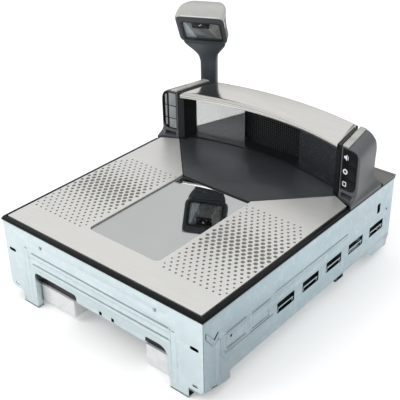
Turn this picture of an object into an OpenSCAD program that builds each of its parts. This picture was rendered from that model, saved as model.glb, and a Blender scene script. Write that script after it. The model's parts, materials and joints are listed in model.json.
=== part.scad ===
/* [Base] */
// Width of the sheet-metal base
body_w = 292; // [290:0.5:296]
// Length of the base, front panel to rear panel
body_l = 356; // [356:0.5:364]
// Height of the sheet metal's top edge above the feet
tub_h = 102; // [101.5:0.5:104]
// Thickness of the galvanised sheet
sheet = 1.2; // [1:0.1:1.4]
// Height by which pressed ribs stand proud of the sheet
emboss = 0.6; // [0.4:0.1:0.8]
// Distance between neighbouring windows along the side panels
side_pitch = 46.5; // [44:0.5:47]

/* [Platter] */
// Height of the platter's top face above the sheet metal
platter_rise = 4.8; // [4.6:0.1:5.2]
// Thickness of the stainless platter plate
platter_t = 1.5; // [1.2:0.1:1.6]
// Half width of the horizontal window
win_hw = 51; // [47:0.5:52]
// Depth of the glass below the platter's face
glass_drop = 2; // [1.8:0.1:2.4]

/* [Bonnet] */
// Radius of the bonnet's front lip in plan
lip_r = 340; // [339:0.5:341]
// Depth of the bonnet from front lip to back wall
bonnet_d = 53; // [52:0.5:54]
// Height of the bonnet's top above the platter
bonnet_rise = 64.7; // [63:0.1:66]
// Distance from the lip back to the upright glass
glass_back = 14; // [13:0.5:15]

/* [Keys] */
// Press travel of each key
key_travel = 0.8; // [0.4:0.1:1]
// Gap between neighbouring keys
key_gap = 0.5; // [0.4:0.1:0.8]

/* [Tower] */
// Turn of the tower towards the middle of the platter, in degrees
tower_yaw = 25.5; // [20:0.5:30]
// Downward tilt of the tower's face, in degrees
face_tilt = 32.8; // [30:0.1:35]
// Width of the tower's face
head_w = 62; // [60:0.5:64]
// Width of the tower's neck
neck_w = 22; // [20:0.5:24]

/* [Hidden] */
$fn = 64;
hw = body_w / 2;
deck_z = tub_h + 2;
plat_z = tub_h + platter_rise;
plat_b = plat_z - platter_t;
top_z = plat_z + bonnet_rise;
arc_y = -53;                       // centre of every bonnet arc in plan
glass_r = lip_r + glass_back;
back_r = lip_r + bonnet_d;
glass_top = plat_z - glass_drop;
pit_z = 22;                        // floor of the base
foot_hw = 49;                      // half width of the foot cover's front edge
foot_y = 196;                      // foot cover's front edge
win_y = 42.5;                      // front edge of the horizontal window
tower_x = -130;
tower_y = 342.5;
face_s = 36.5;                     // face centre ahead of the neck's axis
face_z = 240;
face_h = 46.7;
foot_slope = -19.5;                // direction of the end caps' feet
key_slope = -8;                    // direction of the key panel's plane
cap_x = 120.1;
cap_y = 267.9;
key_edge = [117.6, 132.5, 149.8, 169];  // key panel's foot, the two seams and its top
key_z = [125.2, 141.2, 159.4];     // heights of the keys' stems

// ---- helpers -------------------------------------------------------------

// y is written from the front panel's face; this centres the base on the origin
module place() translate([0, -body_l / 2, 0]) children();
module xz(y0, t) translate([0, y0 + t, 0]) rotate([90, 0, 0]) linear_extrude(t) children();
module yz(x0, t) translate([x0, 0, 0]) rotate([90, 0, 90]) linear_extrude(t) children();
module xy(z0, t) translate([0, 0, z0]) linear_extrude(t) children();
module box(a, b) translate(a) cube(b - a);
module rect(x0, y0, x1, y1) translate([x0, y0]) square([x1 - x0, y1 - y0]);
module rrect(x0, y0, x1, y1, r) {
  rect(x0 + r, y0, x1 - r, y1);
  rect(x0, y0 + r, x1, y1 - r);
  for (x = [x0 + r, x1 - r], y = [y0 + r, y1 - r]) translate([x, y]) circle(r);
}
module slot(x, y, len, w) {
  translate([x - (len - w) / 2, y - w / 2]) square([len - w, w]);
  for (s = [-1, 1]) translate([x + s * (len - w) / 2, y]) circle(w / 2);
}
module mirrored() { children(); mirror([1, 0, 0]) children(); }

// a corner cut back along a smooth curve that starts t before it
function unit(v) = v / norm(v);
function bend(a, p, b, t, n = 3) = let (s = p + unit(a - p) * t, e = p + unit(b - p) * t)
  [for (i = [0:n]) let (k = i / n) s * (1 - k) * (1 - k) + p * 2 * k * (1 - k) + e * k * k];
function soften(poly, ts) = [for (i = [0:len(poly) - 1])
  each bend(poly[(i + len(poly) - 1) % len(poly)], poly[i], poly[(i + 1) % len(poly)], ts[i])];
function soft_rect(a0, a1, b0, b1, t) =
  soften([[a0, b0], [a1, b0], [a1, b1], [a0, b1]], [t, t, t, t]);
module loft(rings) {
  n = len(rings[0]);
  m = len(rings);
  polyhedron(points = [for (r = rings) each r], faces = concat(
    [[for (i = [0:n - 1]) i], [for (i = [n - 1:-1:0]) (m - 1) * n + i]],
    [for (k = [0:m - 2], i = [0:n - 1]) [k * n + i, (k + 1) * n + i, (k + 1) * n + (i + 1) % n]],
    [for (k = [0:m - 2], i = [0:n - 1])
      [k * n + i, (k + 1) * n + (i + 1) % n, k * n + (i + 1) % n]]), convexity = 6);
}

// ring about the bonnet's arc centre, cut to the wedge between the end caps
module bonnet_ring(grow = 0, x_front = 115.4, x_back = 106.3) intersection() {
  translate([0, arc_y, 0]) rotate([0, 0, 66]) rotate_extrude(angle = 48, $fn = 128) children();
  xy(90, 100) polygon([[-x_front - grow - 1.6, 257], [x_front + grow + 1.6, 257],
    [x_back + grow - 1.6, 351], [-x_back - grow + 1.6, 351]]);
}
function arc_at(r, x) = arc_y + sqrt(r * r - x * x);

// ---- base ----------------------------------------------------------------

module arch() {
  rrect(-100, -8, -32, 50, 6);
  rect(-60, -8, 80, 41);
  rrect(69, -20, 98.5, 48.5, 10);
  for (x = [3, 21]) rect(x, 40, x + 4, 47);
}
module front_panel() { color("lightsteelblue") place() {
  xz(emboss, sheet) difference() {
    union() {
      polygon([[-hw + 1.4, 18], [-hw + 6, 14], [hw - 6, 14], [hw - 1.4, 18],
        [hw - 1.4, tub_h], [-hw + 1.4, tub_h]]);
      for (s = [-1, 1]) rect(s * 113 - 12, 0, s * 113 + 12, 30);
    }
    arch();
    for (s = [-1, 1]) { slot(s * 134, 66.5, 10, 3); slot(s * 134, 20, 6, 2.4); }
    for (x = [-84, 84]) translate([x, 88]) circle(1.6);
  }
  xz(0, emboss + 0.3) {                             // pressed ribs
    for (z = [58.5, 72.5]) slot(0.5, z, 205, 5);
    rect(-112, 8, -107.5, 77);
    rect(104.5, 8, 110, 73);
    translate([96, 81]) circle(1.8);
  }
  box([-hw + 2, emboss + 0.4, tub_h - sheet], [hw - 2, 12, tub_h]);
  for (s = [-1, 1]) box([s * 101.8 - 0.6, emboss + 0.4, 0], [s * 101.8 + 0.6, 9.4, 48]);
  for (s = [-1, 1]) box([s * 113 - 12, emboss + 0.4, 0], [s * 113 + 12, 9.4, sheet]);
} }

module side_window(y) { rrect(y, 41, y + 31, 54.5, 1.5); }
module side_panel() place() {
  yz(hw - emboss - sheet, sheet) difference() {
    polygon([[emboss + sheet, 16], [30, 9.5], [42, 8.6], [42, 19.5], [303, 21.5], [318, 9], [351, 9],
      [352, 16], [body_l - sheet, 23], [body_l - sheet, tub_h], [emboss + sheet, tub_h]]);
    for (i = [0:4]) side_window(119.5 + i * side_pitch);
    translate([322.5, 73.5]) rotate(90) slot(0, 0, 10, 4);
    translate([342.5, 64.5]) circle(1.5);
    translate([43, 62]) circle(1.6);
    translate([17.5, 15.6]) rotate(-12) slot(0, 0, 10, 3);
    for (y = [114, 254]) translate([y, 70.5]) circle(1.4);
  }
  yz(hw - emboss - 0.3, emboss + 0.3) {             // pressed frames and the long bead
    slot(184, 70.5, 136, 3.4);
    difference() { rrect(32, 49, 68, 70, 2); rrect(34, 51, 66, 68, 1.5); }
    difference() { rrect(73, 47.5, 108, 69.5, 2); rrect(75, 49.5, 106, 67.5, 1.5); }
    slot(71.5, 44.5, 80, 2.6);
    translate([22.5, 42]) rotate(90) slot(0, 0, 53, 4);
  }
  for (i = [0:4]) {                                 // tongue bent in under each window
    y = 119.5 + i * side_pitch;
    box([hw - 9, y + 2, 46.4], [hw - emboss - 0.2, y + 29, 47.8]);
    box([hw - 9, y + 2, 40], [hw - 7.8, y + 29, 46.4]);
    for (e = [y + 2, y + 27.8]) box([hw - 9, e, 40], [hw - emboss - sheet, e + 1.2, 46.4]);
  }
  box([hw - 12, emboss + sheet + 0.2, 20], [hw - emboss - sheet, 2 * sheet + emboss + 0.2, tub_h - 2]);
  box([hw - 12, 46, pit_z - sheet], [hw - emboss - sheet, 300, pit_z]);
}
module side_panel_right() { color("slategray") side_panel(); }
module side_panel_left() { color("slategray") mirror([1, 0, 0]) side_panel(); }

module rear_panel() { color("lightslategray") place() {
  xz(body_l - sheet, sheet) difference() {
    union() {
      rect(-hw + 1.4, 20, hw - 1.4, tub_h);
      for (s = [-1, 1]) rect(s * 113 - 12, 0, s * 113 + 12, 30);
    }
    rrect(-66, 40, 66, 68, 3);
    for (i = [0:5], s = [-1, 1]) slot(s * 104, 52 + i * 5, 36, 2.2);
    for (x = [-120, -40, 40, 120]) translate([x, 92]) circle(1.6);
  }
  for (s = [-1, 1]) box([s * 113 - 12, body_l - 9.4, 0], [s * 113 + 12, body_l - sheet, sheet]);
  box([-hw + 2, body_l - 12, tub_h - sheet], [hw - 2, body_l - sheet, tub_h]);
} }

module floor_pan() { color("silver") place() {
  difference() {
    xy(pit_z, sheet) rect(-hw + 4, 46, hw - 4, body_l - 3);
    for (s = [-1, 1], i = [0:8]) xy(pit_z - 1, 4) slot(s * 100, 90 + i * 12, 40, 4);
  }
  box([-hw + 4, 46, pit_z + sheet], [hw - 4, 46 + sheet, 27]);
} }

module front_beam() { color("dimgray") place() difference() {
  box([-hw + 4, 12.5, 28.6], [hw - 4, 39.6, 56]);
  box([-hw + 6, 15, 31], [hw - 6, 40, 53.6]);
} }
module bracket(x0, x1, z0) difference() {
  box([x0, 10, z0], [x1, 40, 28.6]);
  box([x0 + 1.6, 11.6, z0 + 1.6], [x1 - 1.6, 41, 26.9]);
}
module bracket_left() { color("gainsboro") place() bracket(-111, -48, 6.5); }
module bracket_right() { color("gainsboro") place() bracket(60.5, 97, 2); }
module cable_clip() { color("black") place() difference() {
  box([hw - 9, 237, 14.5], [hw - 2, 253, pit_z - sheet]);
  box([hw - 10, 239.5, 16.2], [hw - 1, 250.5, 19.4]);
} }

// ---- rim -----------------------------------------------------------------

module rim_front() { color("#151515") place() {
  box([-hw, 0, tub_h], [hw, 5, deck_z]);
  box([-hw + 1.2, 1.2, deck_z], [hw - 1.2, 5, plat_z - 0.8]);
} }
module rim_side() place() {
  box([hw - 5.4, 5, tub_h], [hw, body_l - sheet, deck_z]);
  box([hw - 5.4, 5, deck_z], [hw - 1.2, 251.5, plat_z - 0.8]);
}
module rim_right() { color("#151515") rim_side(); }
module rim_left() { color("#151515") mirror([1, 0, 0]) rim_side(); }

// ---- platter and scale ---------------------------------------------------

module platter_plan() polygon([[-139.9, 5.6], [139.9, 5.6], [139.9, 255], [118.4, 266.2],
  [foot_hw + 0.8, foot_y - 0.7], [-foot_hw - 0.8, foot_y - 0.7], [-118.4, 266.2], [-139.9, 255]]);
module window_plan(g = 0) {
  rrect(-win_hw + g, win_y + g, win_hw - g, foot_y - 20, 8 - g);
  rect(-win_hw + g, win_y + 20, win_hw - g, foot_y + 1);
}
module platter() { color("lightgray") place() {
  difference() {
    xy(plat_b, platter_t) platter_plan();
    xy(plat_b - 1, 5) window_plan();
  }
  mirrored() box([138.4, 5.6, plat_b - 2], [139.9, 250, plat_b]);
  box([-138.4, 5.6, plat_b - 2], [138.4, 7.1, plat_b]);
} }
module platter_gasket() { color("black") place() difference() {
  xy(glass_top - 4.2, plat_b - glass_top + 4.2) difference() {
    rrect(-win_hw - 5, win_y - 5, win_hw + 5, foot_y - 0.8, 3);
    rrect(-win_hw + 5, win_y + 5, win_hw - 5, foot_y - 7, 6);
  }
  xy(glass_top - 3.2, 9) intersection() {
    window_plan(0.1);
    rect(-80, 0, 80, foot_y - 0.8);
  }
} }
module platter_glass() { color([0.75, 0.8, 0.8, 0.5]) place()
  xy(glass_top - 3.2, 3.2) intersection() {
    window_plan(0.35);
    rect(-80, 0, 80, foot_y - 1.2);
  } }
module platter_pads() { color("black") place()
  for (x = [-118, 118], y = [24, 226]) translate([x, y, 98]) cylinder(r = 6, h = plat_b - 98); }
module scale_spider() { color("gray") place() difference() {
  union() {
    mirrored() box([110, 16, 90], [126, 234, 98]);
    for (y = [16, 222]) box([-126, y, 90], [126, y + 12, 98]);
    box([62, 16, 90], [84, 234, 98]);
    for (y = [100, 140]) box([62, y, 90], [126, y + 10, 98]);
  }
  for (y = [106, 144]) translate([73, y, 80]) cylinder(r = 3.2, h = 30);
} }
module load_cell() { color("silver") place() difference() {
  box([64, 60, 62], [82, 190, 90]);
  for (y = [112, 138]) translate([60, y, 76]) rotate([0, 90, 0]) cylinder(r = 9, h = 30);
  box([60, 112, 73], [90, 138, 79]);
} }
module load_cell_base() { color("slategray") place() {
  box([58, 60, 56], [100, 100, 62]);
  box([58, 60, pit_z + sheet], [62, 100, 56]);
  box([96, 60, pit_z + sheet], [100, 100, 56]);
} }

// ---- lower optics and electronics ---------------------------------------

module optics_tray() { color("#33373a") place() difference() {
  box([-57, 40, 34], [57, 208, 96]);
  box([-54.5, 42.5, 36.5], [54.5, 205.5, 97]);
} }
module lower_mirrors() { color("lightcyan") place() {
  translate([-51, 60, 40]) rotate([0, -62, 0]) cube([44, 100, 2]);
  translate([-26, 47, 52]) rotate([42, 0, 0]) cube([60, 46, 2]);
} }
module lower_imager() { color("#1d1f20") place() difference() {
  union() {
    box([12, 120, 60], [53, 202, 94]);
    translate([12, 161, 60]) cylinder(r = 24, h = 34);
    box([-12, 161, 60], [14, 202, 94]);
  }
  translate([30, 119, 78]) rotate([-90, 0, 0]) cylinder(r = 9, h = 14);
} }
module lower_camera() { color("#0c0d10") place() translate([30, 121, 78]) rotate([-90, 0, 0]) {
  difference() { cylinder(r = 8.6, h = 11.6); translate([0, 0, -1]) cylinder(r = 5.5, h = 5); }
} }
module lower_leds() { color("ivory") place() {
  box([14, 117.2, 90.5], [50, 119.8, 93.5]);
  for (i = [0:5]) translate([18 + i * 5.6, 117.2, 92]) rotate([90, 0, 0]) cylinder(r = 1.1, h = 1);
} }
module main_board() { color("darkgreen") place() difference() {
  box([-136, 70, 34], [-64, 250, 35.6]);
  for (x = [-132, -68], y = [74, 246]) translate([x, y, 30]) cylinder(r = 1.7, h = 9);
} }
module board_parts() { color("#222222") place() {
  for (y = [96, 150]) box([-112, y, 35.6], [-88, y + 24, 38]);
  for (x = [-130, -78], y = [84, 200, 224]) translate([x, y, 35.6]) cylinder(r = 4, h = 9);
  box([-100, 196, 35.6], [-86, 240, 44]);
  for (x = [-132, -68], y = [74, 246]) translate([x, y, pit_z + sheet])
    cylinder(r = 3.2, h = 34 - pit_z - sheet);
} }
module io_bracket() { color("silver") place() difference() {
  union() {
    box([-70, body_l - 14, 36], [70, body_l - 12.8, 72]);
    for (x = [-70, 68.8]) box([x, body_l - 12.8, 36], [x + 1.2, body_l - sheet, 72]);
  }
  for (x = [-52, -30, -8]) box([x, body_l - 20, 46], [x + 17, body_l - 10, 60]);
  for (x = [16, 34]) box([x, body_l - 20, 48], [x + 14.6, body_l - 10, 56]);
  translate([59, body_l - 10, 53]) rotate([90, 0, 0]) cylinder(r = 5, h = 10);
} }
module data_sockets() { color("#101010") place() {
  for (x = [-52, -30, -8]) difference() {
    box([x + 0.2, body_l - 26, 46.2], [x + 16.8, body_l - 8, 59.8]);
    box([x + 2.5, body_l - 18, 49], [x + 14.5, body_l - 7, 57]);
  }
  for (x = [16, 34]) difference() {
    box([x + 0.2, body_l - 26, 48.2], [x + 14.4, body_l - 8, 55.8]);
    box([x + 1.2, body_l - 18, 49.4], [x + 13.4, body_l - 7, 54.6]);
  }
} }
module power_inlet() { color("#202020") place() translate([59, body_l - 8, 53]) rotate([90, 0, 0])
  difference() {
    cylinder(r = 4.8, h = 18);
    translate([0, 0, -1]) difference() { cylinder(r = 3, h = 11); cylinder(r = 1, h = 12); }
  } }

// ---- deck and foot cover -------------------------------------------------

module deck_frame() { color("#2a2c2e") place() difference() {
  union() {
    xy(99, deck_z - 99) polygon([[-foot_hw, 209], [foot_hw, 209], [104, 268], [hw - 6, 268],
      [hw - 6, body_l - 13], [-hw + 6, body_l - 13], [-hw + 6, 268], [-104, 268]]);
    for (s = [-1, 1]) box([s * 100 - 4, 270, pit_z + sheet], [s * 100 + 4, 330, 99]);
  }
  xy(90, 20) rrect(-90, 312, 90, 334, 4);
  translate([tower_x, tower_y, 90]) cylinder(r = 4, h = 20);
} }
module foot_cover() { color("#333639") place() difference() {
  xy(deck_z, plat_z + 0.2 - deck_z) polygon([[-foot_hw, foot_y], [foot_hw, foot_y],
    [118.2, 267.4], [111.8, 270.2], [109.2, 288], [105, 302], [-105, 302], [-109.2, 288],
    [-111.8, 270.2], [-118.2, 267.4]]);
  translate([0, arc_y, deck_z - 1]) difference() {
    translate([-200, 200, 0]) cube([400, 400, 9]);
    translate([0, 0, -1]) cylinder(r = glass_r - 4.3, h = 12, $fn = 128);
  }
  xy(deck_z - 1, 2) polygon([[-foot_hw + 3, foot_y + 12.8], [foot_hw - 3, foot_y + 12.8],
    [100, 262], [-100, 262]]);
} }

// ---- bonnet --------------------------------------------------------------

module bonnet_cover() { color("gainsboro") place() bonnet_ring()
  polygon([[lip_r + 1.5, top_z - 0.2], [lip_r, top_z - 1.7], [lip_r, top_z - 6.5],
    [lip_r + 1.2, top_z - 6.5], [lip_r + 1.2, top_z - 1.4], [back_r - 1.2, top_z - 1.4],
    [back_r - 1.2, top_z - 14], [back_r, top_z - 14], [back_r, top_z],
    [lip_r + 7, top_z]]); }
module bonnet_back() { color("#2c2e30") place() bonnet_ring(-0.4)
  polygon([[back_r - 3.2, deck_z], [back_r - 0.2, deck_z], [back_r - 0.2, top_z - 14.2],
    [back_r - 1.4, top_z - 14.2], [back_r - 1.4, top_z - 1.6], [back_r - 3.2, top_z - 1.6]]); }
module window_frame() { color("#1b1c1d") place() {
  bonnet_ring(-0.3) {
    polygon([[lip_r + 1.5, top_z - 5.4], [glass_r + 8, top_z - 5.4], [glass_r + 8, top_z - 1.6],
      [lip_r + 1.5, top_z - 1.6]]);
    polygon([[glass_r - 4, deck_z], [glass_r + 8, deck_z], [glass_r + 8, plat_z + 1.2],
      [glass_r - 2, plat_z + 1.2], [glass_r - 4, plat_z + 0.2]]);
  }
  mirrored() xy(deck_z, top_z - 1.6 - deck_z) polygon([[112.6, 270.6], [119.6, 268.4],
    [110.4, 318.4], [104.6, 318.4], [110, 288]]);
} }
module upright_glass() { color([0.3, 0.35, 0.35, 0.5]) place() bonnet_ring(-3.4)
  translate([glass_r, plat_z + 1.2]) square([2.6, top_z - 6.6 - plat_z]); }
module upper_mirror_left() { color("lightcyan") place()
  translate([-108.2, 289.4, plat_z + 1.5]) rotate([0, 0, 13]) cube([68.6, 2, 57.4]); }
module upper_mirror_right() { color("lightcyan") place()
  translate([108.2, 289.4, plat_z + 1.5]) rotate([0, 0, 167]) mirror([0, 1, 0]) cube([68.6, 2, 57.4]); }
module upper_grille() { color("#17181a") place() difference() {
  box([-36, 318, plat_z + 1.4], [34, 320.4, top_z - 6]);
  for (i = [0:11], k = [0:7])
    box([-33.6 + i * 5.6, 317, plat_z + 5 + k * 6.4], [-29.6 + i * 5.6, 321, plat_z + 9.6 + k * 6.4]);
} }
module upper_imager() { color("#101114") place() difference() {
  union() {
    box([-30, 322, plat_z + 1.4], [30, 332, top_z - 8]);
    translate([0, 322, 140]) rotate([90, 0, 0]) cylinder(r = 3, h = 1.2);
  }
  box([-27, 325, plat_z + 4], [27, 333, top_z - 11]);
} }

// ---- end caps ------------------------------------------------------------

// height, corner M (x), corner B (x, y) and corner C (x, y) of each section
cap_rows = [[104, 139.6, 145.8, 253.8, 145.8, 323.6], [108, 139.8, 145.7, 254.6, 145, 323.4],
  [110, 141, 145.6, 257.6, 142, 322.8], [113, 143, 145.5, 262.2, 139, 321.6],
  [117, 143.9, 145.6, 265.6, 137, 320.6], [122, 144.2, 145.7, 266.2, 136.2, 320],
  [140, 144.4, 145.8, 266.4, 136.6, 319.6], [152, 144.4, 145.9, 266.4, 137, 319.5],
  [157, 144.3, 145.8, 266.4, 136.4, 319.6], [161, 143.8, 145.3, 266.4, 135.2, 319.8],
  [164.5, 142.2, 143.8, 266.6, 132.6, 320], [167.5, 139.4, 141.1, 267, 129, 320.4],
  [169.6, 135.8, 137.5, 267.6, 124.6, 320.8], [170.5, 131.2, 132.8, 268.4, 121.5, 321]];
function plane_y(x, slope) = cap_y + (x - cap_x) * tan(slope);
function cap_ring(r) = let (low = max(0, (112 - r[0]) / 8),
  slope = key_slope + (foot_slope - key_slope) * min(1, max(0, (114 - r[0]) / 6)),
  pts = soften([[121 - low * 0.9, plane_y(121 - low * 0.9, slope)], [r[1], plane_y(r[1], slope)],
    [r[2], r[3]], [r[4], r[5]], [116 + low * 11, 322 + low * 11], [111.4, 321.5 + low * 7]],
    [0.6, 1.2, 1.4, 3, 1.6, 0.6]))
  [for (p = pts) [p[0], p[1], r[0]]];
module cap_front() translate([cap_x, cap_y, 0]) rotate([0, 0, key_slope]) children();
// outline of the key panel on the end cap's front plane, drawn inwards by g
module key_plan(g = 0) difference() {
  rect(2.4 + g, key_edge[0] + g, 24 - g, key_edge[3] - g);
  translate([24 - g, key_edge[3] - g]) mirror([1, 1]) corner(12 - g);
  translate([24 - g, key_edge[0] + g]) mirror([1, 0]) corner(10 - g);
}
module corner(r) difference() {
  translate([-1, -1]) square([r + 1, r + 1]);
  translate([r, r]) circle(r);
}
// bores through which the keys' stems reach the board behind
module key_holes() for (z = key_z) translate([12, 12, z]) rotate([90, 0, 0]) cylinder(r = 2.6, h = 16);
module endcap() place() difference() {
  loft([for (r = cap_rows) cap_ring(r)]);
  xy(100, 56) polygon([[124.5, 273.2], [140.4, 271], [133.2, 314.5], [116, 317.5]]);
  cap_front() xz(-20, 24.4) key_plan();
  cap_front() box([4, -20, 108.6], [21, 6, 114.4]);
}
module endcap_right() { color("#6f7275") endcap(); }
module endcap_left() { color("#6f7275") mirror([1, 0, 0]) endcap(); }
module trim() place() difference() {
  xy(170.5, 1.7) polygon([[121.8, 267.8], [130.4, 266.6], [121, 320], [112.6, 320.6]]);
  box([110, 288, 171.4], [140, 291, 174]);
}
module trim_right() { color("silver") trim(); }
module trim_left() { color("silver") mirror([1, 0, 0]) trim(); }
module key_bezel() { color("black") place() cap_front() difference() {
  union() {
    xz(2.6, 1.6) key_plan(0.3);
    xz(0.2, 2.4) difference() { key_plan(0.3); key_plan(1.1); }
  }
  key_holes();
} }
module key(i) place() cap_front() {
  xz(0.1, 2.4 - key_travel - 0.1) intersection() {
    key_plan(1.4);
    rect(0, key_edge[i] + key_gap / 2, 40, key_edge[i + 1] - key_gap / 2);
  }
  translate([12, 3.5, key_z[i]]) rotate([90, 0, 0]) cylinder(r = 2.2, h = 2.1);
}
module key_sound() { color("#1a1a1c") key(2); }
module key_zero() { color("#1a1a1c") key(1); }
module key_mode() { color("#1a1a1c") key(0); }
module key_board() { color("darkgreen") place() cap_front()
  box([5, 6.7, 121], [17.4, 8.3, 155.4]); }
module indicator_bezel() { color("black") mirror([1, 0, 0]) place() cap_front() {
  xz(2.6, 1.6) key_plan(0.3);
  xz(0.2, 2.4) difference() { key_plan(0.3); key_plan(1.1); }
} }
module indicator_lenses() { color("#505356") mirror([1, 0, 0]) place() cap_front()
  xz(0.1, 2.5) difference() {
    key_plan(1.2);
    for (i = [1, 2]) rect(0, key_edge[i] - 0.3, 40, key_edge[i] + 0.3);
  } }

module rear_deck() { color("darkgray") place() difference() {
  xy(deck_z, 2) polygon([[-hw, 325], [-128, 334.2], [-112, 330.5], [-106, 330], [106, 330],
    [112, 330.5], [128, 334.2], [hw, 325], [hw, body_l], [-hw, body_l]]);
  translate([0, arc_y, deck_z - 1]) cylinder(r = back_r + 0.4, h = 4, $fn = 128);
  translate([tower_x, tower_y, deck_z - 1]) cylinder(r = 4, h = 4);
} }

// ---- tower ---------------------------------------------------------------

module tower() place() translate([tower_x, tower_y, 0]) rotate([0, 0, tower_yaw]) children();
module face() tower() translate([0, -face_s, face_z]) rotate([90 + face_tilt, 0, 0]) children();
nh = neck_w / 2;
// height, front and back half widths, front and back of each section of the neck
neck_rows = [[106, nh + 0.4, nh, -7.2, 7.6], [112, nh, nh - 0.4, -7, 7.4],
  [184, nh, nh - 0.4, -7.2, 7.4], [192, nh + 0.8, nh - 0.4, -8, 7.8], [199, nh + 3, nh - 0.4, -10.2, 8.4],
  [206, nh + 8, nh - 0.3, -14, 8.7], [212, nh + 13, nh - 0.2, -18.2, 8.9],
  [217, nh + 16.5, nh - 0.1, -22, 9], [221, nh + 17.8, nh, -24.6, 9]];
function wedge(f, b, y0, y1, t) =
  soften([[-f, y0], [f, y0], [b, y1], [-b, y1]], [t, t, t, t]);
module tower_post() { color("#3e4245") tower() difference() {
  loft([for (r = neck_rows) [for (p = wedge(r[1], r[2], r[3], r[4], 4)) [p[0], p[1], r[0]]]]);
  translate([0, 0, 100]) cylinder(r = 4, h = 130);
  translate([0, -face_s, face_z]) rotate([90 + face_tilt, 0, 0])
    translate([0, 0, -10.2]) head_void();
  xy(212, 12) polygon([[-9, -6], [9, -6], [7, 5.5], [-7, 5.5]]);
} }
// the head narrows towards its back, most of all low down
function head_ring(z, low, high) = [for (p = soften([[-low, -face_h / 2], [low, -face_h / 2],
  [high, face_h / 2], [-high, face_h / 2]], [9, 9, 9, 9])) [p[0], p[1], z]];
module head_void() linear_extrude(60) polygon(soften([[-head_w / 2 - 0.15, -face_h / 2 - 0.15],
  [head_w / 2 + 0.15, -face_h / 2 - 0.15], [head_w / 2 + 0.15, face_h / 2 + 0.15],
  [-head_w / 2 - 0.15, face_h / 2 + 0.15]], [8.6, 8.6, 8.6, 8.6]));
module tower_head() { color("#4a4e51") face() difference() {
  loft([head_ring(-10, head_w / 2 - 6, head_w / 2 - 0.8), head_ring(-2, head_w / 2 - 0.9, head_w / 2),
    head_ring(0, head_w / 2, head_w / 2)]);
  xy(-1.6, 4) rrect(-26.4, -20.4, 26.4, 16.4, 5);
  xy(-11, 14) rrect(-23.5, -17.5, 23.5, 13.5, 3);
} }
// back of shell: distance behind the neck's axis, half width, low edge, high edge
shell_rows = [[-50.6, 30.4, 257, 261.6], [-46, 30.9, 252, 265.6], [-38, 30.6, 243, 268.8],
  [-28, 29.6, 231, 270.8], [-18, 26, 221.2, 271.4], [-8, 21, 221.2, 270], [2, 16, 221.2, 265.6],
  [8, 12.5, 221.2, 260], [9, 11, 222, 255]];
module tower_shell() { color("silver") tower() difference() {
  loft([for (r = shell_rows) [for (p = soft_rect(r[2], r[3], -r[1], r[1], 2)) [p[1], r[0], p[0]]]]);
  translate([0, -face_s, face_z]) rotate([90 + face_tilt, 0, 0]) {
    translate([0, 0, -10.1]) head_void();
    translate([-60, -80, -10.1]) cube([120, 86, 60]);
  }
  difference() {
    xy(222.6, 33.4) polygon([[-25, -32], [25, -32], [22, -18], [17, -8], [12, 2], [8.5, 6.5],
      [-8.5, 6.5], [-12, 2], [-17, -8], [-22, -18]]);
    translate([0, -face_s, face_z]) rotate([90 + face_tilt, 0, 0])
      translate([-60, -60, -13]) cube([120, 160, 60]);
  }
} }
module tower_bezel() { color("#0d0d0e") face() xy(-1.5, 1.2) difference() {
  rrect(-26.2, -20.2, 26.2, 16.2, 4.8);
  rrect(-24.2, -18.2, 24.2, 14.2, 3.4);
} }
module tower_glass() { color([0.6, 0.65, 0.65, 0.4]) face() xy(-1.5, 0.8)
  rrect(-24, -18, 24, 14, 3.2); }
module tower_imager() { color("#131416") face() {
  xy(-9, 6.5) rrect(-12, 2, 10, 13, 2);
  translate([-1, 7, -2.5]) cylinder(r = 3, h = 0.7);
} }
module tower_mirror() { color("lightcyan") face() translate([-22.4, -15.6, -7]) rotate([-9, 0, 0])
  cube([44.8, 15.6, 1.2]); }
module tower_cable() { color("black") tower()
  translate([0, 0, deck_z + 4]) cylinder(r = 2.2, h = 104); }

// ---- fasteners -----------------------------------------------------------

module case_screws() { color("#9a9da0") place() {
  for (x = [-84, 84]) translate([x, emboss + sheet + 0.02, 88]) rotate([90, 0, 0])
    cylinder(r = 1.45, h = sheet + 0.3);
  for (x = [-120, -40, 40, 120]) translate([x, body_l - 0.1, 92]) rotate([90, 0, 0])
    cylinder(r = 1.45, h = sheet + 1.5);
} }

front_panel();
side_panel_right();
side_panel_left();
rear_panel();
floor_pan();
front_beam();
bracket_left();
bracket_right();
cable_clip();
rim_front();
rim_left();
rim_right();
platter();
platter_gasket();
platter_glass();
platter_pads();
scale_spider();
load_cell();
load_cell_base();
optics_tray();
lower_mirrors();
lower_imager();
lower_camera();
lower_leds();
main_board();
board_parts();
io_bracket();
data_sockets();
power_inlet();
deck_frame();
foot_cover();
bonnet_cover();
bonnet_back();
window_frame();
upright_glass();
upper_mirror_left();
upper_mirror_right();
upper_grille();
upper_imager();
endcap_right();
endcap_left();
trim_right();
trim_left();
key_bezel();
key_sound();
key_zero();
key_mode();
key_board();
indicator_bezel();
indicator_lenses();
rear_deck();
tower_post();
tower_head();
tower_shell();
tower_bezel();
tower_glass();
tower_imager();
tower_mirror();
tower_cable();
case_screws();
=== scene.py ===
import json
import math

import bmesh
import bpy
from mathutils import Matrix, Vector

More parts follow.
